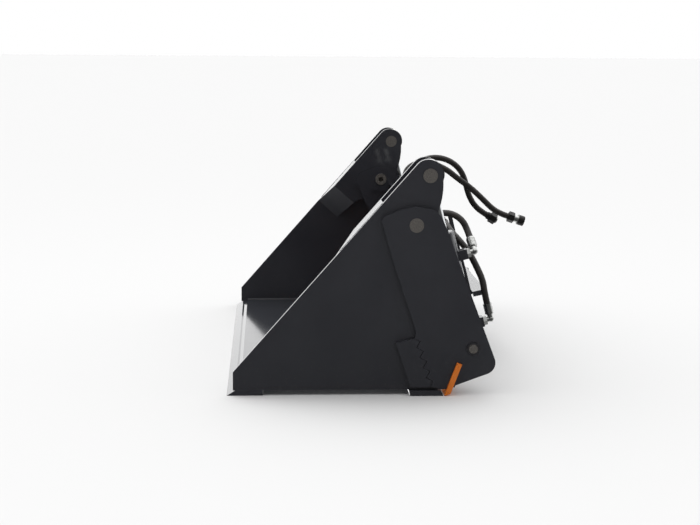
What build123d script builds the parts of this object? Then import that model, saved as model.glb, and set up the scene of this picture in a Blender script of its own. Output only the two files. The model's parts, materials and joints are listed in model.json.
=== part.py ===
from build123d import *
from math import asin, atan2, cos, pi, radians, sin, tan
import os

# Multi-purpose clamshell bucket for a compact loader.
# Millimetres. +Z up, +Y to the loader (rear), X across. The ground is z = 0.
# Side profiles are drawn in the YZ plane. Left and right are the driver's, so
# left is +X. Handed pieces are made on the left and mirrored to the right.

# ---------------------------------------------------------------- driving dimensions
overall_width = 1400            # over the blade's outer side plates
edge_overhang = 8               # blade cutting edge past each side plate
plate = 12                      # side plates, cheeks and arm plates
running_gap = 1.5               # between plates that turn past each other
clevis_width = 71.5             # between the clam's two arm plates
sheet = 8                       # moldboard and floor
cover_sheet = 6

lip_y = -396.2                  # tip of the clam's cutting edge
heel_y = 211                    # rear of the clam's heel bar
bar_thickness = 15
front_edge_depth = 102
bevel_depth = 24
heel_bar_depth = 97
side_front_height = 52          # upright front of the clam side plate
lip_setback = 17.8              # side plate behind the tip of the lip
floor_setback = 30              # floor sheet behind the tip of the lip

hinge_y, hinge_z = 129.7, 481.6
hinge_pin_diameter = 40
bush_wall = 6
arm_reach = 141.27              # hinge to rod pin
arm_angle = 74.6                # above the horizontal, towards the rear
arm_tip_radius = 40
arm_waist = 58                  # clam plates round the hinge pin
bend_reach = 252                # arm tip to the bend of the arm plate
bend_width = 94

base_pin_y, base_pin_z = 293.0, 134.3
base_pin_diameter = 25
base_boss_diameter = 35
tube_outer, tube_inner = 60, 50
rod_diameter = 28
spigot_diameter = 20
piston_length = 30
pin_fit = 0.05                  # radial, in every bush, piston and gland
eye_width = 46
exposed_rod = 121.5             # between gland and rod eye with the bucket shut
linkage_clearance = 10          # rod eye round its pin

edge_foot = (213.5, 1.2)        # front lower corner of the blade cutting edge
edge_angle = 69.5
edge_height = 100
edge_thickness = 14.5
bolt_diameter = 16
edge_bolt_count = 8

tooth_start = (126.7, 162.6)    # top of the toothed joint between jaw and side plate
tooth_count = 5
tooth_rise = (16.6, -6.0)
tooth_pitch = (9.4, -28.9)
tooth_back = (-9.3, -18.6)
tooth_gap = 1.6

beam_side, beam_wall = 60, 5    # square beam behind the moldboard's top
hitch_half_width = 218
rib_x, rib_thickness = 170, 15
lock_bore_diameter = 25.5
hook_radius = 20.5
hitch_bar = (40, 16)
hose_diameter = 18.5

os.makedirs("parts", exist_ok=True)

# ---------------------------------------------------------------- worked-out places
half_width = overall_width / 2
side_in = half_width - plate                    # inner face of the blade side plate
clam_out = side_in - running_gap
clam_in = clam_out - plate
arm_out = clam_in - clevis_width
arm_in = arm_out - plate
cheek_out = arm_in - running_gap
cheek_in = cheek_out - plate
cylinder_x = (clam_in + arm_out) / 2


def polar(radius, angle):
    return Vector(cos(radians(angle)), sin(radians(angle))) * radius


def side_plane(x):
    """Drawing plane of a side profile: its axes are Y and Z, its normal is +X."""
    return Plane(origin=(x, 0, 0), x_dir=(0, 1, 0), z_dir=(1, 0, 0))


def at(point):
    """Side-profile point as a pair."""
    return (point.X, point.Y)


def outline(*points, mode=Mode.ADD):
    """Closed outline through the points, filled."""
    Polygon(*[p if isinstance(p, tuple) else at(p) for p in points], align=None, mode=mode)


def hole(centre, radius):
    with Locations(at(centre)):
        Circle(radius, mode=Mode.SUBTRACT)


def save(piece, name):
    piece.part.label = name
    export_step(piece.part, f"parts/{name}.step")


def save_pair(piece, name):
    """Write the left piece, then its mirror image as the right one."""
    save(piece, f"{name}_left")
    with BuildPart() as mirrored:
        mirror(piece.part, about=Plane.YZ)
    save(mirrored, f"{name}_right")


def save_both(piece, name):
    """Write the piece and its mirror image as one group."""
    with BuildPart() as group:
        add(piece.part)
        mirror(piece.part, about=Plane.YZ)
    save(group, name)


hinge = Vector(hinge_y, hinge_z)
rod_pin = hinge + polar(arm_reach, arm_angle)
base_pin = Vector(base_pin_y, base_pin_z)
pin_radius = hinge_pin_diameter / 2
bush_radius = pin_radius + bush_wall

# Edge of the clam's sides: a straight line from the front corner to the arm's tip.
front_corner = Vector(lip_y + lip_setback, bar_thickness + side_front_height)
tip_centre = rod_pin + Vector(-6.0, 5.1)
reach = tip_centre - front_corner
slope = atan2(reach.Y, reach.X) + asin(arm_tip_radius / reach.length)
along_edge = Vector(cos(slope), sin(slope))
out_of_edge = Vector(-sin(slope), cos(slope))
edge_touch = tip_centre + out_of_edge * arm_tip_radius
bend_top = edge_touch - along_edge * bend_reach
bend_low = bend_top - out_of_edge * bend_width

# Blade cutting edge and moldboard.
edge_up = polar(1, edge_angle)
edge_back = Vector(edge_up.Y, -edge_up.X)
edge_front_foot = Vector(*edge_foot)
edge_front_top = edge_front_foot + edge_up * edge_height
edge_rear_top = edge_front_top + edge_back * edge_thickness
edge_rear_foot = edge_rear_top - edge_up * (edge_height - 10)
sheet_foot = edge_front_top + Vector(1.5, 5.4)
sheet_line = hinge + Vector(24.9, 0.4) - sheet_foot
sheet_up = sheet_line.normalized()
sheet_back = Vector(sheet_up.Y, -sheet_up.X)
sheet_height = sheet_line.length - 14
beam_up = sheet_height - 8 - beam_side / 2      # beam centre above the sheet's foot


def on_sheet(up, back):
    """Point behind the moldboard's front face, along it and square to it."""
    return sheet_foot + sheet_up * up + sheet_back * back


# ---------------------------------------------------------------- clam
def arm_outline():
    """Arm from the straight edge round the tip and the hinge, as a drawn line."""
    shoulder = tip_centre + polar(arm_tip_radius, 0)
    top = tip_centre + polar(arm_tip_radius, 60)
    bulge = rod_pin + Vector(36.2, -22)
    neck = hinge + Vector(arm_waist + 3.6, 39.8)
    waist = hinge + Vector(arm_waist, 0)
    hip = hinge + polar(arm_waist, -45)
    ThreePointArc(at(edge_touch), at(top), at(shoulder))
    ThreePointArc(at(shoulder), at(bulge), at(neck))
    Line(at(neck), at(waist))
    ThreePointArc(at(waist), at(hinge + polar(arm_waist, -22)), at(hip))
    return hip


with BuildPart() as clam_side_plate:
    with BuildSketch(side_plane(clam_in)):
        with BuildLine():
            hip = arm_outline()
            Polyline(at(hip), at(hinge + Vector(20.3, -81.6)), (heel_y - 13, 95),
                     (heel_y - 13, bar_thickness), (front_corner.X, bar_thickness),
                     at(front_corner), at(edge_touch))
        make_face()
        hole(hinge, bush_radius)
        hole(rod_pin, pin_radius)
    extrude(amount=plate)
save_pair(clam_side_plate, "clam_side_plate")

# Inner arm plate: flat round both pins, then bent out at 45 degrees to the side plate.
bend_plane = Plane(origin=(0, *at(bend_top)), x_dir=(1, 0, 0),
                   z_dir=(0, *at(out_of_edge * -1)))
mitre = plate * tan(radians(22.5))
with BuildPart() as clam_arm_plate:
    with BuildSketch(side_plane(arm_in)):
        with BuildLine():
            hip = arm_outline()
            foot = hinge + polar(arm_waist, -110)
            ThreePointArc(at(hip), at(hinge + polar(arm_waist, -78)), at(foot))
            Polyline(at(foot), at(bend_low), at(bend_top), at(edge_touch))
        make_face()
        hole(hinge, bush_radius)
        hole(rod_pin, pin_radius)
    extrude(amount=plate)
    with BuildSketch(bend_plane):
        outline((arm_in, 0), (arm_in, mitre), (clam_in, clam_in - arm_in + mitre),
                (clam_in, clevis_width), (arm_out, 0))
    extrude(amount=bend_width)
save_pair(clam_arm_plate, "clam_arm_plate")

# Cover: closes the front of the box between the side plate and the arm plate.
cover_top = 142                 # below the tip of the arm, where the clevis opens
cover_plane = Plane(origin=(0, *at(edge_touch)), x_dir=(1, 0, 0),
                    z_dir=(0, *at(out_of_edge)))
with BuildPart() as arm_cover:
    with BuildSketch(cover_plane):
        outline((arm_out, -cover_top), (arm_out, -bend_reach),
                (clam_in, -bend_reach - clevis_width), (clam_in, -cover_top))
    extrude(amount=-cover_sheet)
save_pair(arm_cover, "arm_cover")

with BuildPart() as clam_floor_sheet:
    with BuildSketch(side_plane(-clam_in)):
        outline((lip_y + floor_setback, bar_thickness),
                (heel_y - 21, bar_thickness),
                (heel_y - 21, bar_thickness + sheet),
                (lip_y + floor_setback + 10, bar_thickness + sheet))
    extrude(amount=2 * clam_in)
save(clam_floor_sheet, "clam_floor_sheet")

with BuildPart() as front_cutting_edge:
    with BuildSketch(side_plane(-clam_out)):
        outline((lip_y, 0), (lip_y + front_edge_depth, 0),
                (lip_y + front_edge_depth, bar_thickness),
                (lip_y + bevel_depth, bar_thickness))
    extrude(amount=2 * clam_out)
save(front_cutting_edge, "front_cutting_edge")

heel_overhang = 5
with BuildPart() as heel_bar:
    with BuildSketch(side_plane(-half_width - heel_overhang)):
        outline((heel_y - heel_bar_depth + 3.5, 0), (heel_y, 0),
                (heel_y - 6, bar_thickness), (heel_y - heel_bar_depth, bar_thickness))
    extrude(amount=2 * (half_width + heel_overhang))
save(heel_bar, "heel_bar")


def tooth_line(shift):
    """Zigzag from the top of the toothed joint to its foot, moved back by shift."""
    points = [Vector(*tooth_start)]
    crest = points[0] + Vector(*tooth_rise)
    for _ in range(tooth_count):
        points.append(crest)
        points.append(crest + Vector(*tooth_back))
        crest = crest + Vector(*tooth_pitch)
    last = points[-2]
    points[-1] = last + Vector(*tooth_back) * 0.65
    return [point + Vector(shift, 0) for point in points]


jaw_teeth = tooth_line(0)
jaw_foot = jaw_teeth[-1]
with BuildPart() as jaw_tooth_plate:
    with BuildSketch(side_plane(clam_out)):
        outline((jaw_foot.X - 56, 24), (tooth_start[0] - 51, tooth_start[1] - 12),
                *jaw_teeth, (jaw_foot.X, 24))
    extrude(amount=half_width - clam_out)
save_pair(jaw_tooth_plate, "jaw_tooth_plate")

bush_length = 22
with BuildPart() as bush:
    for start in (clam_out - bush_length, arm_in):
        with BuildSketch(side_plane(start)):
            with Locations(at(hinge)):
                Circle(bush_radius)
            hole(hinge, pin_radius + pin_fit)
        extrude(amount=bush_length)
save_both(bush, "clam_hinge_bushes")

rod_pin_stickout = 2.5
with BuildPart() as rod_pin_piece:
    with BuildSketch(side_plane(arm_in - running_gap / 2)):
        with Locations(at(rod_pin)):
            Circle(pin_radius)
    extrude(amount=clam_out + rod_pin_stickout - arm_in + running_gap / 2)
save_pair(rod_pin_piece, "rod_pin")

# ---------------------------------------------------------------- blade
blade_teeth = tooth_line(tooth_gap)
blade_foot = base_pin + Vector(74, -61.2)
foot_radius = 33
slot = 0.5                      # round the cutting edge where it passes the plate


def blade_top():
    """Top corners of the blade side plate, front to back."""
    corners = ((-97.1, 13), (-90.2, 24.3), (-42.2, 43.5), (-2.8, 52.9),
               (50.8, 42.8), (69.5, 23.1), (86.1, -14.6))
    return [hinge + Vector(*corner) for corner in corners]


with BuildPart() as blade_side_plate:
    with BuildSketch(side_plane(side_in)) as profile:
        outline(*blade_top(), blade_foot, (edge_rear_foot.X + 10, 27),
                (edge_front_foot.X + 8, 18),
                (blade_teeth[-1].X + 24, 18), (blade_teeth[-1].X, 26),
                *reversed(blade_teeth), Vector(*tooth_start) + Vector(5.4, 22),
                hinge + Vector(-58.5, -117.4))
        outline(edge_front_foot - edge_back * slot - edge_up * 20,
                edge_front_top - edge_back * slot + edge_up * slot,
                edge_rear_top + edge_back * slot + edge_up * slot,
                edge_rear_top + edge_back * slot - edge_up * (edge_height + 20),
                mode=Mode.SUBTRACT)
        hole(hinge, pin_radius)
        hole(base_pin, base_boss_diameter / 2)
    extrude(amount=plate)
    corner = blade_side_plate.edges().filter_by(Axis.X).sort_by_distance(
        (half_width, *at(blade_foot)))[0]
    fillet(corner, foot_radius)
save_pair(blade_side_plate, "blade_side_plate")

cheek_foot_up = 60
with BuildPart() as inner_cheek:
    with BuildSketch(side_plane(cheek_in)):
        outline(hinge + Vector(-90.1, -8), hinge + Vector(-78, 22),
                hinge + Vector(-20, 46), hinge + Vector(20, 46),
                hinge + Vector(58, 20), hinge + Vector(72, -14.6),
                base_pin + Vector(38, 0), base_pin + Vector(24, -36),
                base_pin + Vector(-12, -36), base_pin + Vector(-25, -10),
                on_sheet(cheek_foot_up - 32, 2),
                on_sheet(cheek_foot_up, -12), hinge + Vector(-44, -108.6))
        hole(hinge, pin_radius)
        hole(base_pin, base_pin_diameter / 2)
    extrude(amount=plate)
    for point, radius in ((hinge + Vector(-78, 22), 18), (base_pin + Vector(24, -36), 20),
                          (base_pin + Vector(38, 0), 20)):
        corner = inner_cheek.edges().filter_by(Axis.X).sort_by_distance(
            (cheek_out, *at(point)))[0]
        fillet(corner, radius)
save_pair(inner_cheek, "inner_cheek")

with BuildPart() as moldboard_sheet:
    with BuildSketch(side_plane(-cheek_in)):
        outline(on_sheet(0, 0), on_sheet(sheet_height, 0),
                on_sheet(sheet_height, sheet), on_sheet(0, sheet))
    extrude(amount=2 * cheek_in)
save(moldboard_sheet, "moldboard_sheet")

bay_sheet_height = 300
with BuildPart() as bay_sheet:
    with BuildSketch(side_plane(cheek_out)):
        outline(on_sheet(0, 0), on_sheet(bay_sheet_height, 0),
                on_sheet(bay_sheet_height, sheet), on_sheet(0, sheet))
    extrude(amount=side_in - cheek_out)
save_both(bay_sheet, "bay_front_sheets")

with BuildPart() as blade_cutting_edge:
    with BuildSketch(side_plane(-half_width - edge_overhang)):
        outline(edge_front_foot, edge_front_top, edge_rear_top, edge_rear_foot)
    extrude(amount=2 * (half_width + edge_overhang))

# Backing bar: laps the rear of the cutting edge and the foot of the moldboard.
backing = 8
backing_foot = edge_rear_top - edge_up * 72
with BuildPart() as edge_backing_bar:
    with BuildSketch(side_plane(-side_in)):
        outline(backing_foot, edge_rear_top, on_sheet(0, sheet), on_sheet(12, sheet),
                on_sheet(12, sheet + backing),
                edge_rear_top + edge_back * backing,
                backing_foot + edge_back * backing)
    extrude(amount=2 * side_in)

bolt_up = 45                    # bolt line above the foot of the cutting edge
bolt_spacing = (2 * side_in - 130) / (edge_bolt_count - 1)
bolt_row = [(i - (edge_bolt_count - 1) / 2) * bolt_spacing for i in range(edge_bolt_count)]
bolt_centre = edge_front_foot + edge_up * bolt_up
bolt_plane = Plane(origin=(0, *at(bolt_centre)), x_dir=(1, 0, 0),
                   z_dir=(0, *at(edge_back)))
stack = edge_thickness + backing
head_radius, head_depth = bolt_diameter * 0.95, bolt_diameter * 0.45
nut_height = bolt_diameter * 0.8
for member in (blade_cutting_edge, edge_backing_bar):
    with member:
        with BuildSketch(bolt_plane):
            with Locations(*[(x, 0) for x in bolt_row]):
                Circle(bolt_diameter / 2)
        extrude(amount=stack, mode=Mode.SUBTRACT)
with blade_cutting_edge:
    for x in bolt_row:
        with BuildSketch(bolt_plane):
            with Locations((x, 0)):
                Circle(head_radius)
        with BuildSketch(bolt_plane.offset(head_depth)):
            with Locations((x, 0)):
                Circle(bolt_diameter / 2)
        loft(mode=Mode.SUBTRACT)
save(blade_cutting_edge, "blade_cutting_edge")
save(edge_backing_bar, "edge_backing_bar")

with BuildPart() as cutting_edge_bolts:
    for x in bolt_row:
        with BuildSketch(bolt_plane):
            with Locations((x, 0)):
                Circle(head_radius)
        with BuildSketch(bolt_plane.offset(head_depth)):
            with Locations((x, 0)):
                Circle(bolt_diameter / 2)
        loft()
        with BuildSketch(bolt_plane.offset(head_depth)):
            with Locations((x, 0)):
                Circle(bolt_diameter / 2)
        extrude(amount=stack - head_depth + nut_height + 4)
        with BuildSketch(bolt_plane.offset(stack)):
            with Locations((x, 0)):
                RegularPolygon(bolt_diameter * 0.75, 6, major_radius=False)
        extrude(amount=nut_height)
save(cutting_edge_bolts, "cutting_edge_bolts")

beam_centre = on_sheet(beam_up, sheet + beam_side / 2)
beam_plane = Plane(origin=(-cheek_in, *at(beam_centre)), x_dir=(0, *at(sheet_back)),
                   z_dir=(1, 0, 0))
with BuildPart() as moldboard_beam:
    with BuildSketch(beam_plane):
        RectangleRounded(beam_side, beam_side, 8)
        RectangleRounded(beam_side - 2 * beam_wall, beam_side - 2 * beam_wall, 3,
                         mode=Mode.SUBTRACT)
    extrude(amount=2 * cheek_in)
save(moldboard_beam, "moldboard_beam")

# ---------------------------------------------------------------- hitch
hitch_bar_corner = Vector(358.1, 209)
hitch_slope = 12
bar_along = polar(1, hitch_slope)
bar_down = polar(1, hitch_slope - 90)
bar_far = hitch_bar_corner + bar_along * hitch_bar[0]
hook_centre = on_sheet(beam_up - 35, sheet + beam_side + 26)
lock_centre = Vector(318, 246)
rib_top = on_sheet(beam_up - beam_side / 2, sheet)
with BuildPart() as hitch_rib:
    with BuildSketch(side_plane(rib_x - rib_thickness / 2)):
        outline(on_sheet(20, sheet), rib_top, on_sheet(beam_up - beam_side / 2, sheet + beam_side),
                on_sheet(beam_up - 12, sheet + beam_side),
                on_sheet(beam_up - 12, sheet + beam_side + 5.5),
                on_sheet(beam_up - 12, sheet + beam_side + 58),
                on_sheet(beam_up - 78, sheet + beam_side + 58),
                lock_centre + Vector(24, 26), hitch_bar_corner,
                hitch_bar_corner + bar_down * hitch_bar[1], lock_centre + Vector(-10, -52),
                on_sheet(20, sheet + 40))
        hole(lock_centre, lock_bore_diameter / 2)
        hole(hook_centre, hook_radius)
        outline(hook_centre - sheet_back * hook_radius, hook_centre + sheet_back * hook_radius,
                hook_centre + sheet_back * hook_radius + sheet_up * 60,
                hook_centre - sheet_back * hook_radius + sheet_up * 60, mode=Mode.SUBTRACT)
    extrude(amount=rib_thickness)
save_both(hitch_rib, "hitch_ribs")

with BuildPart() as hitch_lower_bar:
    with BuildSketch(side_plane(-hitch_half_width)):
        outline(hitch_bar_corner, bar_far, bar_far + bar_down * hitch_bar[1],
                hitch_bar_corner + bar_down * hitch_bar[1])
    extrude(amount=2 * hitch_half_width)
save(hitch_lower_bar, "hitch_lower_bar")

stop_bolt_radius = 4
with BuildPart() as hitch_stop_bolts:
    bolt_face = Plane(origin=(hitch_half_width - 14, *at(bar_far + bar_down * hitch_bar[1] / 2)),
                      x_dir=(1, 0, 0), z_dir=(0, *at(bar_along)))
    with BuildSketch(bolt_face):
        RegularPolygon(stop_bolt_radius * 1.7, 6, major_radius=False)
    extrude(amount=5.5)
save_both(hitch_stop_bolts, "hitch_stop_bolts")

cross_low = on_sheet(130, sheet + 40)
cross_high = on_sheet(210, sheet + 40)
with BuildPart() as hitch_cross_plate:
    with BuildSketch(side_plane(-rib_x + rib_thickness / 2)):
        outline(cross_low, cross_high, cross_high + sheet_back * 10, cross_low + sheet_back * 10)
    extrude(amount=2 * rib_x - rib_thickness)
save(hitch_cross_plate, "hitch_cross_plate")

# ---------------------------------------------------------------- pins of the blade
keeper_recess = 8.5
with BuildPart() as hinge_pin:
    with BuildSketch(side_plane(cheek_in - 6)):
        with Locations(at(hinge)):
            Circle(pin_radius)
    extrude(amount=half_width + 1 - cheek_in + 6)
    with BuildSketch(side_plane(cheek_in - 6)):
        with Locations(at(hinge)):
            Circle(keeper_recess)
    extrude(amount=18, mode=Mode.SUBTRACT)
save_pair(hinge_pin, "hinge_pin")

with BuildPart() as base_pin_piece:
    with BuildSketch(side_plane(cheek_in - 5)):
        with Locations(at(base_pin)):
            Circle(base_pin_diameter / 2)
    extrude(amount=half_width + 8 - cheek_in + 5)
save_pair(base_pin_piece, "base_pin")

with BuildPart() as base_pin_spacer:
    for start, end, radius in ((cheek_out, cylinder_x - eye_width / 2 - 0.5, 20),
                               (cylinder_x + eye_width / 2 + 0.5, side_in, 20),
                               (side_in, half_width + 6, base_boss_diameter / 2)):
        with BuildSketch(side_plane(start)):
            with Locations(at(base_pin)):
                Circle(radius)
            hole(base_pin, base_pin_diameter / 2)
        extrude(amount=end - start)
save_both(base_pin_spacer, "base_pin_spacers")

# Keeper plates: a flat bar across a groove beside each hinge pin, with two screws.
keeper_long, keeper_wide, keeper_thick = 62, 20, 6
keeper_drop = pin_radius + 4
with BuildPart() as pin_keeper:
    keeper_plane = side_plane(cheek_in - keeper_thick)
    keeper_mid = hinge + Vector(0, -keeper_drop - keeper_wide / 2)
    with BuildSketch(keeper_plane):
        with Locations(at(keeper_mid)):
            RectangleRounded(keeper_long, keeper_wide, 3)
    extrude(amount=keeper_thick)
    with BuildSketch(side_plane(cheek_in - keeper_thick - 6)):
        for offset_y in (-19, 19):
            with Locations(at(keeper_mid + Vector(offset_y, 0))):
                RegularPolygon(8, 6, major_radius=False)
    extrude(amount=6)
save_both(pin_keeper, "pin_keepers")

# ---------------------------------------------------------------- cylinders
stroke_line = rod_pin - base_pin
cylinder_length = stroke_line.length
axis = stroke_line.normalized()
axis_back = Vector(axis.Y, -axis.X)
rod_eye_radius = pin_radius + linkage_clearance + 12
neck_length = 6
rod_end = cylinder_length - rod_eye_radius - neck_length
gland_end = rod_end - exposed_rod
gland_cap, gland_nose = 12, 36
tube_start, base_cap = 36, 20
tube_end = gland_end - gland_cap
piston_top = tube_end - gland_nose - 8
base_eye_radius = 28


def cylinder_plane(distance):
    """Plane square to the cylinder, at a distance from its base pin."""
    centre = base_pin + axis * distance
    return Plane(origin=(cylinder_x, *at(centre)), x_dir=(1, 0, 0), z_dir=(0, *at(axis)))


with BuildPart() as cylinder_base_eye:
    with BuildSketch(side_plane(cylinder_x - eye_width / 2)):
        with Locations(at(base_pin)):
            Circle(base_eye_radius)
    extrude(amount=eye_width)
    with BuildSketch(cylinder_plane(base_eye_radius - 8)):
        Circle(tube_inner / 2)
    extrude(amount=tube_start + base_cap - base_eye_radius + 8)
    with BuildSketch(cylinder_plane(base_eye_radius)):
        Circle(tube_outer / 2)
    extrude(amount=tube_start - base_eye_radius)
    with BuildSketch(side_plane(cylinder_x - eye_width / 2)):
        with Locations(at(base_pin)):
            Circle(base_pin_diameter / 2 + pin_fit)
    extrude(amount=eye_width, mode=Mode.SUBTRACT)
save_pair(cylinder_base_eye, "cylinder_base_eye")

upper_port, lower_port = 256, 56
with BuildPart() as cylinder_tube:
    with BuildSketch(cylinder_plane(tube_start)):
        Circle(tube_outer / 2)
        Circle(tube_inner / 2, mode=Mode.SUBTRACT)
    extrude(amount=tube_end - tube_start)
save_pair(cylinder_tube, "cylinder_tube")

with BuildPart() as cylinder_gland:
    with BuildSketch(cylinder_plane(tube_end)):
        Circle(tube_outer / 2)
    extrude(amount=gland_cap)
    chamfer(cylinder_gland.edges().sort_by(Axis((0, 0, 0), (0, *at(axis))))[-1], 3)
    with BuildSketch(cylinder_plane(tube_end)):
        Circle(tube_inner / 2)
    extrude(amount=-gland_nose)
    with BuildSketch(cylinder_plane(tube_end - gland_nose)):
        Circle(rod_diameter / 2 + pin_fit)
    extrude(amount=gland_nose + gland_cap, mode=Mode.SUBTRACT)
save_pair(cylinder_gland, "cylinder_gland")

with BuildPart() as cylinder_piston:
    with BuildSketch(cylinder_plane(piston_top - piston_length)):
        Circle(tube_inner / 2 - pin_fit)
        Circle(spigot_diameter / 2, mode=Mode.SUBTRACT)
    extrude(amount=piston_length)
save_pair(cylinder_piston, "cylinder_piston")

with BuildPart() as piston_rod:
    with BuildSketch(cylinder_plane(piston_top)):
        Circle(rod_diameter / 2)
    extrude(amount=rod_end - piston_top)
    with BuildSketch(cylinder_plane(piston_top)):
        Circle(spigot_diameter / 2)
    extrude(amount=-piston_length - 8)
save_pair(piston_rod, "piston_rod")

with BuildPart() as rod_eye:
    with BuildSketch(side_plane(cylinder_x - eye_width / 2)):
        with Locations(at(rod_pin)):
            Circle(rod_eye_radius)
    extrude(amount=eye_width)
    with BuildSketch(cylinder_plane(rod_end)):
        Circle(20)
    extrude(amount=neck_length + 12)
    with BuildSketch(side_plane(cylinder_x - eye_width / 2)):
        with Locations(at(rod_pin)):
            Circle(rod_eye_radius - 12)
    extrude(amount=eye_width, mode=Mode.SUBTRACT)
save_pair(rod_eye, "rod_eye")

# Ports: a welded block on the tube, an elbow out of it and the hose's ferrule.
block_length, block_out, block_width = 28, 22, 30
elbow_reach = 74                # elbow corner from the cylinder's axis
elbow_radius = 8
ferrule_radius, ferrule_length = 12, 30
elbow_rise = 16
elbow_tilt = 45                 # of the upper ferrule, inwards over the cheek


def port_place(distance, out, x=0):
    centre = base_pin + axis * distance + axis_back * out
    return Vector(cylinder_x + x, *at(centre))


def ferrule_line(distance, tilt):
    """Corner, ferrule start and hose start of a port's elbow."""
    heading = Vector(-sin(radians(tilt)), *at(axis * cos(radians(tilt))))
    corner = port_place(distance, elbow_reach)
    start = corner + heading * elbow_rise
    return corner, start, start + heading * ferrule_length, heading


with BuildPart() as port_fitting:
    for distance, tilt in ((upper_port, elbow_tilt), (lower_port, 0)):
        block_plane = Plane(origin=port_place(distance, 0), x_dir=(1, 0, 0),
                            z_dir=(0, *at(axis_back)))
        corner, start, hose_start, heading = ferrule_line(distance, tilt)
        with BuildSketch(block_plane):
            Rectangle(block_width, block_length)
        extrude(amount=tube_outer / 2 + block_out)
        with BuildSketch(cylinder_plane(distance - block_length)):
            Circle(tube_outer / 2)
        extrude(amount=2 * block_length, mode=Mode.SUBTRACT)
        with BuildSketch(block_plane.offset(tube_outer / 2 + block_out)):
            RegularPolygon(12, 6, major_radius=False)
        extrude(amount=10)
        with BuildSketch(block_plane.offset(tube_outer / 2 + block_out)):
            Circle(elbow_radius)
        extrude(amount=elbow_reach - tube_outer / 2 - block_out)
        with BuildPart(mode=Mode.PRIVATE) as knuckle:
            Sphere(elbow_radius + 1.5)
        add(knuckle.part.moved(Location(corner)))
        rise_plane = Plane(origin=corner, z_dir=heading)
        with BuildSketch(rise_plane):
            Circle(elbow_radius)
        extrude(amount=elbow_rise)
        with BuildSketch(Plane(origin=start, z_dir=heading)):
            Circle(ferrule_radius)
        extrude(amount=ferrule_length)
save_pair(port_fitting, "port_fittings")

# ---------------------------------------------------------------- manifold and hoses
hose_radius = hose_diameter / 2
block_ends = (-95, 25)
block_height = 30
beam_top = beam_up + beam_side / 2
with BuildPart() as hose_manifold:
    with BuildSketch(side_plane(block_ends[0])):
        outline(on_sheet(beam_top, sheet + 2), on_sheet(beam_top + block_height, sheet + 2),
                on_sheet(beam_top + block_height, sheet + beam_side - 2),
                on_sheet(beam_top, sheet + beam_side - 2))
    extrude(amount=block_ends[1] - block_ends[0])
    chamfer(hose_manifold.edges().filter_by(Axis.X), 2)
save(hose_manifold, "hose_manifold")


def spot(x, point):
    return Vector(x, point.X, point.Y)


def turned(x, up, back):
    """Direction from parts across, up the sheet and square to it."""
    flat = sheet_up * up + sheet_back * back
    return Vector(x, flat.X, flat.Y).normalized()


# Ports: start point, heading. The two supply ports stand on top and lean across.
side_port_up = beam_top + block_height / 2
nut_length, nut_size = 14, 13
rod_port_back, cap_port_back = sheet + 17, sheet + 43
supply_lean = turned(1, 1, 0)
supply_ports = {"a": (-75, 50), "b": (-15, 20)}


def supply_start(name):
    x, back = supply_ports[name]
    corner = spot(x, on_sheet(beam_top + block_height + nut_length, back))
    return corner, corner + supply_lean * (ferrule_length + 6)


with BuildPart() as manifold_fittings:
    for name, (x, back) in supply_ports.items():
        corner, start = supply_start(name)
        foot = Plane(origin=spot(x, on_sheet(beam_top + block_height, back)),
                     x_dir=(1, 0, 0), z_dir=turned(0, 1, 0))
        with BuildSketch(foot):
            RegularPolygon(nut_size, 6, major_radius=False)
        extrude(amount=nut_length - 4)
        with BuildSketch(foot):
            Circle(elbow_radius)
        extrude(amount=nut_length)
        with BuildPart(mode=Mode.PRIVATE) as knuckle:
            Sphere(elbow_radius + 0.5)
        add(knuckle.part.moved(Location(corner)))
        with BuildSketch(Plane(origin=corner, z_dir=supply_lean)):
            Circle(elbow_radius)
        extrude(amount=8)
        with BuildSketch(Plane(origin=corner + supply_lean * 6, z_dir=supply_lean)):
            Circle(ferrule_radius)
        extrude(amount=ferrule_length)
    for end, way in ((block_ends[1], 1), (block_ends[0], -1)):
        for back in (rod_port_back, cap_port_back):
            foot = Plane(origin=spot(end, on_sheet(side_port_up, back)), z_dir=(way, 0, 0))
            with BuildSketch(foot):
                RegularPolygon(11, 6, major_radius=False)
            extrude(amount=nut_length)
            with BuildSketch(foot.offset(nut_length)):
                Circle(ferrule_radius)
            extrude(amount=ferrule_length)
save(manifold_fittings, "manifold_fittings")


def bend_radii(points):
    """Each corner's arc is as large as its two runs allow."""
    radii = []
    for before, corner, after in zip(points, points[1:], points[2:]):
        run_in, run_out = corner - before, after - corner
        turn = radians(run_in.get_angle(run_out))
        radii.append(0.45 * min(run_in.length, run_out.length) / tan(turn / 2))
    return radii


def hose(points, name):
    points = [Vector(*point) for point in points]
    radii = bend_radii(points)
    with BuildPart() as piece:
        with BuildLine() as path:
            FilletPolyline(*points, radius=radii)
        with BuildSketch(Plane(origin=path.line @ 0, z_dir=path.line % 0)):
            Circle(hose_radius)
        sweep()
    length = path.wires()[0].length
    ratio = piece.part.volume / (pi * hose_radius ** 2 * length)
    print(name, "length", round(length), "volume ratio", round(ratio, 4), "tightest",
          round(min(radii)), "radii", [round(radius) for radius in radii])
    save(piece, name)


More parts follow.
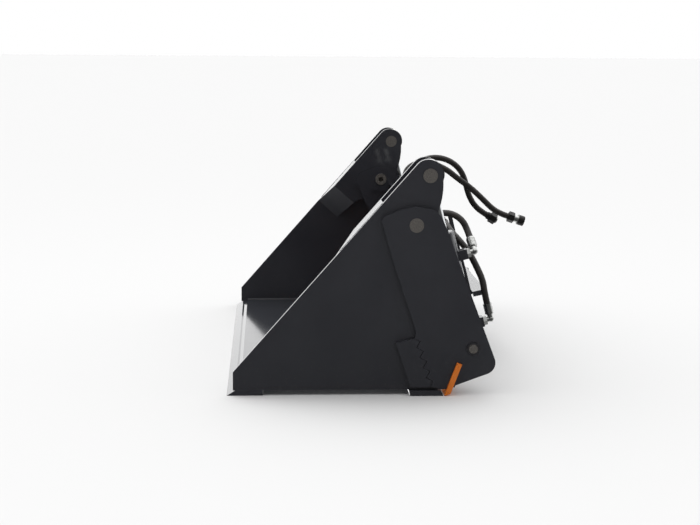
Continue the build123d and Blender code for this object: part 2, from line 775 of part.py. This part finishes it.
clip_run = (290, 440)           # straight stretch held by clips on the beam
rod_run = beam_top + hose_radius + 2.25, sheet + 24
cap_run = beam_up, sheet + beam_side + hose_radius + 2.25
*_, rod_end_point, rod_heading = ferrule_line(upper_port, elbow_tilt)
*_, cap_end_point, cap_heading = ferrule_line(lower_port, 0)
for side, name, end in ((1, "left", block_ends[1]), (-1, "right", -block_ends[0])):
    start_x = end + nut_length + ferrule_length

    def lead(share, up, back):
        """Point between the block's port and the first clip."""
        return spot(start_x + share * (clip_run[0] - start_x), on_sheet(up, back))

    rod_points = [lead(0, side_port_up, rod_port_back), lead(0.6, side_port_up, rod_port_back),
                  lead(1, *rod_run), spot(clip_run[1], on_sheet(*rod_run)),
                  (498, 200, 487), (532, 222, 497), (558, 250, 496), (575, 274, 479),
                  rod_end_point + rod_heading * 30, rod_end_point]
    cap_points = [lead(0, side_port_up, cap_port_back), lead(0.16, side_port_up, cap_port_back),
                  lead(0.34, side_port_up + 1, sheet + 53), lead(0.5, side_port_up - 3, sheet + 72),
                  lead(0.66, beam_up + 24, sheet + 78), lead(0.82, beam_up + 7, sheet + 74),
                  lead(1, *cap_run), spot(clip_run[1], on_sheet(*cap_run)),
                  (505, 247.5, 441), (550, 264, 424), (585, 290, 394), (610, 311, 353),
                  (629, 327, 316), cap_end_point + cap_heading * 30, cap_end_point]
    for points, kind in ((rod_points, "rod_hose"), (cap_points, "cap_hose")):
        placed = [Vector(*point) for point in points]
        hose([(side * point.X, point.Y, point.Z) for point in placed], f"{kind}_{name}")

clip_places, clip_width, clip_fit = (335, 385), 14, 0.2
with BuildPart() as hose_clip:
    for up, back in (rod_run, cap_run):
        for x in clip_places:
            with BuildSketch(side_plane(x)):
                with Locations(at(on_sheet(up, back))):
                    Circle(hose_radius + 2)
                hole(on_sheet(up, back), hose_radius + clip_fit)
            extrude(amount=clip_width)
save_both(hose_clip, "hose_clips")

supply_routes = {
    "a": ((-8, 192, 581), (14, 210, 600), (31, 238, 612), (41, 272, 613), (47, 304, 602),
          (51, 331, 580), (52, 348, 550), (51, 356, 516), (51, 367, 485), (50, 384, 459),
          (50, 406, 440), (49, 425, 429)),
    "b": ((53, 163, 576), (75, 182, 595), (92, 211, 603), (103, 245, 599), (107, 286, 580),
          (100, 319, 553), (102, 357, 527), (103, 396, 492), (104, 433, 455),
          (104, 463, 439), (103, 484, 432)),
}
for name, route in supply_routes.items():
    _, start = supply_start(name)
    hose([start, start + supply_lean * 26, *route], f"supply_hose_{name}")


def end_plane(name):
    """Plane across the free end of a supply hose, looking outwards."""
    last, before = Vector(*supply_routes[name][-1]), Vector(*supply_routes[name][-2])
    return Plane(origin=last, z_dir=last - before)


with BuildPart() as supply_fitting_a:
    face = end_plane("a")
    with BuildSketch(face):
        Circle(ferrule_radius)
    extrude(amount=10)
    with BuildSketch(face.offset(10)):
        RegularPolygon(15, 6, major_radius=False)
    extrude(amount=20)
    with BuildSketch(face.offset(30)):
        Circle(10)
    extrude(amount=5)
save(supply_fitting_a, "supply_fitting_a")

with BuildPart() as supply_fitting_b:
    face = end_plane("b")
    with BuildSketch(face):
        RegularPolygon(15, 6, major_radius=False)
    extrude(amount=18)
    with BuildSketch(face.offset(18)):
        Circle(11)
    extrude(amount=14)
    with BuildSketch(face.offset(32)):
        Circle(16)
    extrude(amount=20)
save(supply_fitting_b, "supply_fitting_b")
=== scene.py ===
# A four-in-one clamshell bucket for a compact loader: finishes, hoses, welds and crimps
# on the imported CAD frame. Metres, +Z up, -Y out of the bucket's mouth.
import json
import math

import bpy
from mathutils import Matrix, Vector


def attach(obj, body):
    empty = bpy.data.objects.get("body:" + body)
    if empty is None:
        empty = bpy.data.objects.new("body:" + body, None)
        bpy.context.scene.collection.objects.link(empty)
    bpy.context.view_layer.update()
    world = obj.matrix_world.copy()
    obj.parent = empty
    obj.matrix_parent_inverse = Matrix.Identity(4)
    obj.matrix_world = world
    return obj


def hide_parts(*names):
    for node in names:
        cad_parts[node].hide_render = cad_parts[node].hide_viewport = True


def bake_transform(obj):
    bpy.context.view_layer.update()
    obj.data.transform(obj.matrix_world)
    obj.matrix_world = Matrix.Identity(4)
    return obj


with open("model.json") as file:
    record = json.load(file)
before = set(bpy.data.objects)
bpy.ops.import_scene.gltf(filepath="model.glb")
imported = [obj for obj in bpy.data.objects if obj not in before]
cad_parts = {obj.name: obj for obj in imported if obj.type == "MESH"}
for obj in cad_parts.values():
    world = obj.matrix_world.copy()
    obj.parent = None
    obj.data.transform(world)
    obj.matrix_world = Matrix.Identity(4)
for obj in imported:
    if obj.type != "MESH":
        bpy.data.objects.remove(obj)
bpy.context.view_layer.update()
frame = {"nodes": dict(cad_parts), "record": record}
parts = frame["nodes"]

# ---- Camera ------------------------------------------------------------------------
# A long lens a little above the bucket's left end, turned slightly towards its mouth.
camera_place = (4.612, -0.280, 1.002)
camera_yaw = math.radians(-3.308)
camera_pitch = math.radians(9.035)
camera_roll = math.radians(0.43)
sight = Vector((-math.cos(camera_pitch) * math.cos(camera_yaw),
                -math.cos(camera_pitch) * math.sin(camera_yaw), -math.sin(camera_pitch)))
camera_data = bpy.data.cameras.new("camera")
camera_data.lens = 73.97
camera_data.sensor_width = 36.0
camera = bpy.data.objects.new("camera", camera_data)
bpy.context.scene.collection.objects.link(camera)
turn = sight.to_track_quat("-Z", "Y").to_matrix() @ Matrix.Rotation(camera_roll, 3, "Z")
camera.matrix_world = Matrix.Translation(camera_place) @ turn.to_4x4()
bpy.context.scene.camera = camera


# ---- Hose rubber -------------------------------------------------------------------
# Nitrile hydraulic hose with a wrapped cover: matt black-brown rubber, dulled in patches,
# that keeps a fine grain from the cloth it was cured in.
def paint(code):
    """A hex sRGB colour as linear red, green, blue, alpha."""
    shares = [int(code[i:i + 2], 16) / 255 for i in (0, 2, 4)]
    return tuple(c / 12.92 if c <= 0.04045 else ((c + 0.055) / 1.055) ** 2.4
                 for c in shares) + (1.0,)


def add_node(tree, kind, settings=None, inputs=None, stops=()):
    """A node with its settings, inputs set or linked by name or number, and colour stops."""
    made = tree.nodes.new(kind)
    for name, value in (settings or {}).items():
        setattr(made, name, value)
    numbered = enumerate(inputs) if isinstance(inputs, list) else (inputs or {}).items()
    for name, value in numbered:
        if isinstance(value, bpy.types.NodeSocket):
            tree.links.new(value, made.inputs[name])
        else:
            made.inputs[name].default_value = value
    if stops:
        band = made.color_ramp.elements
        while len(band) < len(stops):
            band.new(0.5)
        for stop, (place, code) in zip(band, stops):
            stop.position, stop.color = place, paint(code)
    return made


def new_finish(name, colour, roughness, metallic=0.0, **more):
    """A material with its shader's constant values set; returns it, its tree and shader."""
    finish = bpy.data.materials.new(name)
    finish.use_nodes = True
    shader = finish.node_tree.nodes["Principled BSDF"]
    shader.inputs["Base Color"].default_value = paint(colour)
    shader.inputs["Roughness"].default_value = roughness
    shader.inputs["Metallic"].default_value = metallic
    for socket, value in more.items():
        shader.inputs[socket.replace("_", " ")].default_value = value
    return finish, finish.node_tree, shader


def grains(tree, size_mm, detail=4.0, stretch=(1, 1, 1)):
    """A pattern on the piece with grains about that many millimetres across."""
    place = add_node(tree, "ShaderNodeTexCoord").outputs["Object"]
    sized = add_node(tree, "ShaderNodeMapping", inputs={"Vector": place, "Scale": stretch})
    made = add_node(tree, "ShaderNodeTexNoise", inputs={
        "Vector": sized.outputs["Vector"], "Scale": 1000 / size_mm, "Detail": detail})
    return made.outputs["Fac"]


def weathered(tree, shader, tone=None, tones=(), sheen=None, glosses=None, relief=None, depth_mm=0):
    """Let patterns tint the finish, move its roughness and stand off its surface."""
    if tone is not None:
        tint = add_node(tree, "ShaderNodeValToRGB", inputs={"Fac": tone}, stops=tones)
        tree.links.new(tint.outputs["Color"], shader.inputs["Base Color"])
    if sheen is not None:
        gloss = add_node(tree, "ShaderNodeMapRange", inputs=[sheen, 0.3, 0.7, *glosses])
        tree.links.new(gloss.outputs["Result"], shader.inputs["Roughness"])
    if relief is not None:
        bump = add_node(tree, "ShaderNodeBump", inputs={
            "Height": relief, "Strength": 1.0, "Distance": depth_mm / 1000})
        tree.links.new(bump.outputs["Normal"], shader.inputs["Normal"])


def coat_pieces(slot, finish):
    """Give the finish to every CAD piece that names the slot in the record."""
    for entry in frame["record"]["subparts"]:
        if entry["material_slot"] == slot:
            skin = parts[entry["node"]].data.materials
            skin.clear()
            skin.append(finish)


hose_rubber, tree, shader = new_finish("nitrile_hose_rubber", "26221f", 0.55,
                                       Specular_IOR_Level=0.45)
weathered(tree, shader, tone=grains(tree, 60, 3.0), tones=[(0.35, "1f1c1a"), (0.7, "2f2a27")],
          sheen=grains(tree, 25), glosses=(0.45, 0.62), relief=grains(tree, 1.4, 3.0),
          depth_mm=0.25)
coat_pieces("hose_rubber", hose_rubber)

# ---- Supply hoses ------------------------------------------------------------------
# Two half-inch hoses bring oil from the loader. Each is crimped to an elbow on the
# manifold, arches over the beam and ends behind the bucket in its fitting.
hose_diameter = 0.0185


def hose_line(name, route, bevel_steps):
    """A smooth round hose with the route's points as control points."""
    line = bpy.data.curves.new(name, "CURVE")
    line.dimensions = "3D"
    line.resolution_u = 24
    line.bevel_depth = hose_diameter / 2
    line.bevel_resolution = bevel_steps
    run = line.splines.new("NURBS")
    run.points.add(len(route) - 1)
    for point, place in zip(run.points, route):
        point.co = (*place, 1.0)
    run.order_u = 3
    run.use_endpoint_u = True
    return line


def in_scene(name, data):
    made = bpy.data.objects.new(name, data)
    bpy.context.scene.collection.objects.link(made)
    return made


supply_routes = {
    "a": [(-0.0495, 0.1916, 0.5402), (-0.0312, 0.1871, 0.558), (-0.008, 0.192, 0.581),
          (0.014, 0.210, 0.600), (0.031, 0.238, 0.612), (0.041, 0.272, 0.613),
          (0.047, 0.304, 0.602), (0.051, 0.331, 0.580), (0.052, 0.348, 0.550),
          (0.051, 0.356, 0.516), (0.051, 0.367, 0.485), (0.050, 0.384, 0.459),
          (0.050, 0.406, 0.440), (0.049, 0.425, 0.429)],
    "b": [(0.0105, 0.1625, 0.5329), (0.0288, 0.158, 0.5507), (0.053, 0.163, 0.576),
          (0.075, 0.182, 0.595), (0.092, 0.211, 0.603), (0.103, 0.245, 0.599),
          (0.107, 0.286, 0.580), (0.100, 0.319, 0.553), (0.102, 0.357, 0.527),
          (0.103, 0.396, 0.492), (0.104, 0.433, 0.455), (0.104, 0.463, 0.439),
          (0.103, 0.484, 0.432)],
}
for letter, route in supply_routes.items():
    line = hose_line(f"supply_hose_{letter}_cover", route, bevel_steps=8)
    line.materials.append(hose_rubber)
    supply_hose = in_scene(line.name, line)
    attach(supply_hose, "blade")
    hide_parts(f"supply_hose_{letter}")

# ---- Cylinder hoses ----------------------------------------------------------------
# One pair a side from the manifold's ends, clipped along the beam, to the ports at the
# rod and cap ends of the cylinder.
clip_start, clip_end = 0.290, 0.440
hose_starts = {"left": 0.069, "right": 0.139}
rod_port, cap_port = (0.1806, 0.4813), (0.2058, 0.4876)
sides = (("left", 1), ("right", -1))
for side, way in sides:
    first = hose_starts[side]

    def lead(share, y, z):
        """Point between the manifold and the first clip."""
        return (first + share * (clip_start - first), y, z)

    rod_route = [lead(0, *rod_port), lead(0.6, *rod_port), lead(1, 0.1882, 0.4796),
                 (clip_end, 0.1882, 0.4796), (0.498, 0.200, 0.487), (0.532, 0.222, 0.497),
                 (0.558, 0.250, 0.496), (0.575, 0.274, 0.479), (0.585, 0.2866, 0.4527),
                 (0.6062, 0.292, 0.4322)]
    cap_route = [lead(0, *cap_port), lead(0.16, *cap_port), lead(0.34, 0.2152, 0.491),
                 lead(0.5, 0.2346, 0.4917), lead(0.66, 0.2448, 0.4757), lead(0.82, 0.2451, 0.4582),
                 lead(1, 0.2443, 0.4508), (clip_end, 0.2443, 0.4508), (0.505, 0.2475, 0.441),
                 (0.550, 0.264, 0.424), (0.585, 0.290, 0.394), (0.610, 0.311, 0.353),
                 (0.629, 0.327, 0.316), (0.6388, 0.3314, 0.2807), (0.6388, 0.3389, 0.2516)]
    for kind, route in (("rod_hose", rod_route), ("cap_hose", cap_route)):
        line = hose_line(f"{kind}_{side}_line", [(way * x, y, z) for x, y, z in route],
                         bevel_steps=6)
        drawn = in_scene(line.name, line)
        tube = bpy.data.meshes.new_from_object(
            drawn.evaluated_get(bpy.context.evaluated_depsgraph_get()))
        bpy.data.objects.remove(drawn)
        tube.name = f"{kind}_{side}_cover"
        tube.materials.clear()
        tube.materials.append(hose_rubber)
        cylinder_hose = in_scene(tube.name, tube)
        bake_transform(cylinder_hose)
        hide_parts(f"{kind}_{side}")

# ---- Plates ------------------------------------------------------------------------
# Laser-cut steel plate, welded, shot-blasted and powder coated in anthracite. The coat
# has a fine orange peel, a low even gloss, and a little dust and rubbing near the ground.
plate_coat, tree, shader = new_finish("anthracite_powder_coat", "2c2d31", 0.42,
                                      Coat_Weight=1.0, Coat_Roughness=0.06)
cloud = grains(tree, 170, 5.0)
scuff = grains(tree, 9, 8.0, (0.25, 1.0, 1.0))
rub_height = 0.16
height = add_node(tree, "ShaderNodeSeparateXYZ", inputs={
    "Vector": add_node(tree, "ShaderNodeTexCoord").outputs["Object"]}).outputs["Z"]
low_down = add_node(tree, "ShaderNodeMapRange", inputs=[height, 0.0, rub_height, 1.0, 0.0])
scratches = add_node(tree, "ShaderNodeMapRange", inputs=[scuff, 0.58, 0.7, 0.0, 0.35])
rubbed = add_node(tree, "ShaderNodeMath", {"operation": "MULTIPLY"},
                  [low_down.outputs["Result"], scratches.outputs["Result"]])
tone = add_node(tree, "ShaderNodeValToRGB", inputs={"Fac": cloud},
                stops=[(0.3, "2c2d34"), (0.7, "313239")])
dusty = add_node(tree, "ShaderNodeMix", {"data_type": "RGBA"}, {
    "Factor": rubbed.outputs[0], 6: tone.outputs["Color"], 7: paint("4b4a48")})
tree.links.new(dusty.outputs[2], shader.inputs["Base Color"])
weathered(tree, shader, sheen=cloud, glosses=(0.34, 0.46), relief=grains(tree, 1.6, 2.0),
          depth_mm=0.02)
coat_pieces("black_paint", plate_coat)

# ---- Orange edge -------------------------------------------------------------------
# The blade's bolt-on cutting edge: hardened flat bar painted signal orange, rubbed thin
# and browned in small chips where the ground has touched it.
edge_paint, tree, shader = new_finish("signal_orange_paint", "e87b18", 0.38)
tone = add_node(tree, "ShaderNodeValToRGB", inputs={"Fac": grains(tree, 80, 4.0)},
                stops=[(0.3, "e27616"), (0.7, "ee7f1b")])
worn = add_node(tree, "ShaderNodeMapRange", inputs=[grains(tree, 7, 7.0), 0.66, 0.69, 0.0, 1.0])
chipped = add_node(tree, "ShaderNodeMix", {"data_type": "RGBA"}, {
    "Factor": worn.outputs["Result"], 6: tone.outputs["Color"], 7: paint("8a5a3a")})
tree.links.new(chipped.outputs[2], shader.inputs["Base Color"])
weathered(tree, shader, relief=grains(tree, 2, 2.0), depth_mm=0.08)
coat_pieces("orange_edge", edge_paint)

# ---- Pins --------------------------------------------------------------------------
# Turned pivot pins with saw-cut, phosphated ends: dark brown-grey steel with a coarse
# pitted face, dull against the coated plates.
pin_steel, tree, shader = new_finish("phosphated_pin_steel", "5c5954", 0.62, 0.55)
pits = grains(tree, 2.4, 6.0)
weathered(tree, shader, tone=pits, tones=[(0.3, "625f5b"), (0.55, "7c7874"), (0.75, "979289")],
          sheen=pits, glosses=(0.5, 0.72), relief=pits, depth_mm=0.5)
coat_pieces("pin_steel", pin_steel)

# ---- Piston rods -------------------------------------------------------------------
# Hard-chromed and polished bar, with only the finest grinding lines round it.
rod_chrome, tree, shader = new_finish("hard_chrome_bar", "d8dadc", 0.1, 1.0)
weathered(tree, shader, sheen=grains(tree, 3, 3.0, (0.2, 1.0, 4.0)), glosses=(0.06, 0.14))
coat_pieces("chromed_rod", rod_chrome)

# ---- Zinc-plated hardware ----------------------------------------------------------
# Elbows, ferrules, nuts, bolts and clips: turned or pressed steel, bright zinc plated,
# slightly clouded by handling.
zinc_plate, tree, shader = new_finish("bright_zinc_plate", "b9bab8", 0.26, 1.0)
film = grains(tree, 12, 5.0)
weathered(tree, shader, tone=film, tones=[(0.3, "a3a4a2"), (0.7, "c9cac8")], sheen=film,
          glosses=(0.2, 0.36), relief=grains(tree, 0.8, 2.0), depth_mm=0.02)
coat_pieces("zinc_steel", zinc_plate)

# ---- Machined steel ----------------------------------------------------------------
# Bushes, spacer rings and the piston: plain turned steel under a film of grease.
turned_steel, tree, shader = new_finish("turned_steel", "77767a", 0.34, 1.0)
weathered(tree, shader, sheen=grains(tree, 2, 3.0, (6.0, 1.0, 1.0)), glosses=(0.26, 0.44))
coat_pieces("machined_steel", turned_steel)

# ---- Scoured floor and lip ---------------------------------------------------------
# The clam's floor sheet and lip: the same coat, polished by what slides over it, so that
# it mirrors the sky at a low angle.
floor_coat, tree, shader = new_finish("polished_floor_coat", "33353a", 0.12,
                                      Coat_Weight=0.6, Coat_Roughness=0.08)
slide = grains(tree, 14, 6.0, (1.0, 0.12, 1.0))
weathered(tree, shader, tone=slide, tones=[(0.3, "303237"), (0.72, "3c3e43")], sheen=slide,
          glosses=(0.10, 0.16))
coat_pieces("edge_steel", floor_coat)
parts["clam_floor_sheet"].data.materials[0] = floor_coat


# ---- Port blocks -------------------------------------------------------------------
# Steel blocks welded to each tube and coated with it. Only what is screwed into them,
# the elbow and its ferrule, is plated.
def second_finish(piece, finish, chosen):
    """Give a second finish to the faces whose middle passes the test."""
    piece.data.materials.append(finish)
    for face in piece.data.polygons:
        if chosen(face.center):
            face.material_index = 1


base_pin_middle = Vector((0.0, 0.293, 0.1343))
out_of_tube = Vector((0.0, 0.9678, 0.2518))
block_reach = 0.0521
for side, _ in sides:
    second_finish(parts[f"port_fittings_{side}"], plate_coat,
                  lambda middle: (middle - base_pin_middle).dot(out_of_tube) < block_reach)

# ---- Loose hose ends ---------------------------------------------------------------
# The free end of each supply hose: an oily black-oxide hexagon and a plated nose, which
# on the second hose has a black cap over its tip.
black_oxide, tree, shader = new_finish("black_oxide_steel", "242323", 0.42, 0.4)
weathered(tree, shader, sheen=grains(tree, 5, 4.0), glosses=(0.34, 0.52))
for letter, plated_from, plated_to in (("a", 0.0295, 0.040), ("b", 0.0179, 0.0321)):
    *_, before, last = (Vector(place) for place in supply_routes[letter])
    outwards = (last - before).normalized()
    second_finish(parts[f"supply_fitting_{letter}"], black_oxide,
                  lambda middle: not plated_from < (middle - last).dot(outwards) < plated_to)


# ---- Weld beads --------------------------------------------------------------------
# Fillet welds in the corners where plates meet: overlapping solidified puddles, a few
# millimetres high, under the same coat as the plates.
def repeat_along(name, shape_kind, shape_values, finish):
    """Node group that sets one shape again and again along the object's edges."""
    group = bpy.data.node_groups.new(name, "GeometryNodeTree")
    sockets = {}
    for label, kind in (("Line", "NodeSocketGeometry"), ("Pitch", "NodeSocketFloat"),
                        ("Smallest", "NodeSocketVector"), ("Largest", "NodeSocketVector"),
                        ("Seed", "NodeSocketInt")):
        sockets[label] = group.interface.new_socket(label, in_out="INPUT", socket_type=kind)
    group.interface.new_socket("Result", in_out="OUTPUT", socket_type="NodeSocketGeometry")
    given = group.nodes.new("NodeGroupInput").outputs
    line = add_node(group, "GeometryNodeMeshToCurve", inputs={"Mesh": given["Line"]})
    places = add_node(group, "GeometryNodeCurveToPoints", {"mode": "LENGTH"},
                      {"Curve": line.outputs["Curve"], "Length": given["Pitch"]})
    size = add_node(group, "FunctionNodeRandomValue", {"data_type": "FLOAT_VECTOR"},
                    {0: given["Smallest"], 1: given["Largest"], "Seed": given["Seed"]})
    shape = add_node(group, shape_kind, inputs=shape_values)
    copies = add_node(group, "GeometryNodeInstanceOnPoints", inputs={
        "Points": places.outputs["Points"], "Instance": shape.outputs["Mesh"],
        "Rotation": places.outputs["Rotation"], "Scale": size.outputs[0]})
    solid = add_node(group, "GeometryNodeRealizeInstances",
                     inputs={"Geometry": copies.outputs["Instances"]})
    coated = add_node(group, "GeometryNodeSetMaterial", inputs={
        "Geometry": solid.outputs["Geometry"], "Material": finish})
    result = group.nodes.new("NodeGroupOutput")
    group.links.new(coated.outputs["Geometry"], result.inputs["Result"])
    return group, sockets


def laid(name, runs, recipe, values):
    """Mesh object made by a repeating group along straight runs, with its values."""
    group, sockets = recipe
    lines = bpy.data.meshes.new(name)
    corners = [place for run in runs for place in run]
    lines.from_pydata(corners, [(2 * i, 2 * i + 1) for i in range(len(runs))], [])
    made = in_scene(name, lines)
    repeat = made.modifiers.new("repeat", "NODES")
    repeat.node_group = group
    for label, value in values.items():
        repeat[sockets[label].identifier] = value
    bpy.context.view_layer.update()
    drawn = bpy.data.meshes.new_from_object(
        made.evaluated_get(bpy.context.evaluated_depsgraph_get()))
    made.modifiers.clear()
    made.data = drawn
    return made


bead = repeat_along("weld_bead", "GeometryNodeMeshIcoSphere", {"Radius": 0.0035, "Subdivisions": 2},
                    plate_coat)
bead_values = {"Pitch": 0.0032, "Smallest": (0.9, 0.9, 0.6), "Largest": (1.1, 1.1, 0.8), "Seed": 7}
side_joint, cheek_joint, rib_faces = 0.6745, 0.5775, (0.1775, 0.1625)
floor_joint = (-0.352, 0.023), (0.187, 0.023)
cover_joint = (-0.0794, 0.4057), (0.0366, 0.5380)
sheet_joint = (0.2467, 0.110), (0.1590, 0.440)
rib_joint = (0.2532, 0.125), (0.1824, 0.400)


def weld_run(x, joint):
    """A joint's two ends, at that distance across."""
    return tuple((x, *place) for place in joint)


clam_runs = []
blade_runs = []
for _, way in sides:
    clam_runs += [weld_run(way * side_joint, joint) for joint in (floor_joint, cover_joint)]
    blade_runs += [weld_run(way * cheek_joint, sheet_joint)]
    blade_runs += [weld_run(way * face, rib_joint) for face in rib_faces]
for name, runs, body in (("clam_welds", clam_runs, "clam"), ("blade_welds", blade_runs, "blade")):
    welds = laid(name, runs, bead, bead_values)
    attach(welds, body)

# ---- Crimp rings -------------------------------------------------------------------
# Each hose is squeezed into its ferrule by a press whose dies leave raised rings round it.
ring = repeat_along("crimp_ring", "GeometryNodeMeshCylinder",
                    {"Vertices": 40, "Radius": 0.0127, "Depth": 0.0022}, zinc_plate)
ring_values = {"Pitch": 0.0055, "Smallest": (1.0, 1.0, 1.0), "Largest": (1.0, 1.0, 1.0), "Seed": 1}
ferrule_length, ring_inset = 0.030, 0.004


def ferrule_run(start, heading):
    """Both ends of a ferrule's ringed stretch."""
    start, heading = Vector(start), Vector(heading).normalized()
    return (start + heading * ring_inset, start + heading * (ferrule_length - ring_inset))


for side, way in sides:
    port_runs = [ferrule_run((way * 0.6274, 0.2973, 0.4116), (way * -0.707, -0.178, 0.684)),
                 ferrule_run((way * 0.63875, 0.3465, 0.2226), (0, -0.2518, 0.9678))]
    rings = laid(f"port_crimps_{side}", port_runs, ring, ring_values)
    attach(rings, f"barrel_{side}")
manifold_runs = [ferrule_run((way * (hose_starts[side] - ferrule_length), *port), (way, 0, 0))
                 for side, way in sides for port in (rod_port, cap_port)]
for route in supply_routes.values():
    first, second = (Vector(place) for place in route[:2])
    heading = (second - first).normalized()
    manifold_runs.append(ferrule_run(first - heading * ferrule_length, heading))
rings = laid("manifold_crimps", manifold_runs, ring, ring_values)
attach(rings, "blade")

# ---- Floor and light ---------------------------------------------------------------
# A white studio: pale matt paper under the bucket, a bright surround on three sides and
# overhead, a dim one behind the camera, and a large softbox.
floor_paint, tree, shader = new_finish("studio_paper", "dfdfdf", 0.9, Specular_IOR_Level=0.0)
floor_mesh = bpy.data.meshes.new("studio_paper")
floor_reach = 60.0
floor_mesh.from_pydata([(-floor_reach, -floor_reach, 0), (floor_reach, -floor_reach, 0),
                        (floor_reach, floor_reach, 0), (-floor_reach, floor_reach, 0)],
                       [], [(0, 1, 2, 3)])
floor_mesh.materials.append(floor_paint)
floor = in_scene("studio_paper", floor_mesh)
floor.visible_glossy = False

world = bpy.data.worlds.new("studio")
world.use_nodes = True
tree = world.node_tree
sky = tree.nodes["Background"]
way_out = add_node(tree, "ShaderNodeTexCoord").outputs["Generated"]
parted = add_node(tree, "ShaderNodeSeparateXYZ", inputs={"Vector": way_out}).outputs
surround = add_node(tree, "ShaderNodeMapRange", inputs=[parted["X"], -0.15, 0.4, 1.25, 0.1])
overhead = add_node(tree, "ShaderNodeMapRange", inputs=[parted["Z"], 0.35, 0.9, 0.0, 0.9])
lighting = add_node(tree, "ShaderNodeMath", {"operation": "ADD"},
                    [surround.outputs["Result"], overhead.outputs["Result"]])
seen = add_node(tree, "ShaderNodeLightPath").outputs["Is Camera Ray"]
strength = add_node(tree, "ShaderNodeMix", {"data_type": "FLOAT"},
                    {"Factor": seen, 2: lighting.outputs[0], 3: 1.0})
sky.inputs["Color"].default_value = (1.0, 1.0, 1.0, 1.0)
tree.links.new(strength.outputs[0], sky.inputs["Strength"])
bpy.context.scene.world = world
bpy.context.scene.view_settings.view_transform = "Standard"

lamp_place = Vector((-0.3, -0.4, 3.4))
lamp_data = bpy.data.lights.new("softbox", "AREA")
lamp_data.shape = "RECTANGLE"
lamp_data.size, lamp_data.size_y = 3.2, 3.2
lamp_data.energy = 6
lamp = in_scene("softbox", lamp_data)
lamp.matrix_world = Matrix.Translation(lamp_place) @ lamp_place.to_track_quat(
    "Z", "Y").to_matrix().to_4x4()
